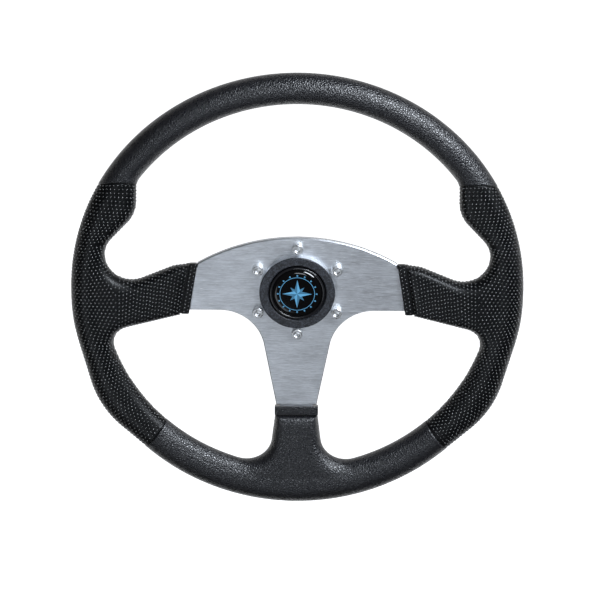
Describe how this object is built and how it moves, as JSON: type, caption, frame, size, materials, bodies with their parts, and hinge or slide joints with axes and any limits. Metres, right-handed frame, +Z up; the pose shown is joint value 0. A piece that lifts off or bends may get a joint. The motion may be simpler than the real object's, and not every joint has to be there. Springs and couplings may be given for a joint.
{
  "type": "boat steering wheel",
  "caption": "Three-spoke sports boat wheel: soft rim with thumb rests and studded grips, brushed spoke plate, sprung horn push and a hub with a tapered, keyed bore.",
  "frame": {"origin": "on the shaft axis, at the nose of the hub, where the helm shaft goes in", "axes": "+Y along the shaft away from the helmsman, +Z up in the plane of the wheel, +X to the helmsman's right"},
  "size_m": [0.35, 0.0585, 0.354],
  "materials": {
    "soft_foam": "matte, leather-grained and studded",
    "brushed_plate": "brushed",
    "cast_hub": "black, satin",
    "textured_black": "fine spark texture",
    "gloss_black": "polished",
    "emblem_gloss": "domed, polished",
    "stainless": "bright",
    "spring_wire": "drawn",
    "contact_brass": "plain",
    "insulator": "plain"
  },
  "bodies": {
    "wheel": {"rim_cover": "soft_foam", "spoke_frame": "brushed_plate", "hub": "cast_hub", "horn_bezel": "textured_black", "return_spring": "spring_wire", "fixed_contact": "contact_brass", "contact_base": "insulator", "terminal_blade_right": "contact_brass", "terminal_blade_left": "contact_brass", "hub_screw_1": "stainless", "hub_screw_2": "stainless", "hub_screw_3": "stainless", "hub_screw_4": "stainless", "hub_screw_5": "stainless", "hub_screw_6": "stainless"},
    "horn_push": {"horn_button": "gloss_black", "emblem_disc": "emblem_gloss", "moving_contact": "contact_brass"}
  },
  "joints": [
    {"name": "horn_press", "type": "slide", "parent": "wheel", "child": "horn_push", "axis": [0, 1, 0], "range_m": [0, 0.0015], "stiffness_N_per_m": 3000, "springref_m": -0.001, "deforming": ["return_spring"]}
  ]
}
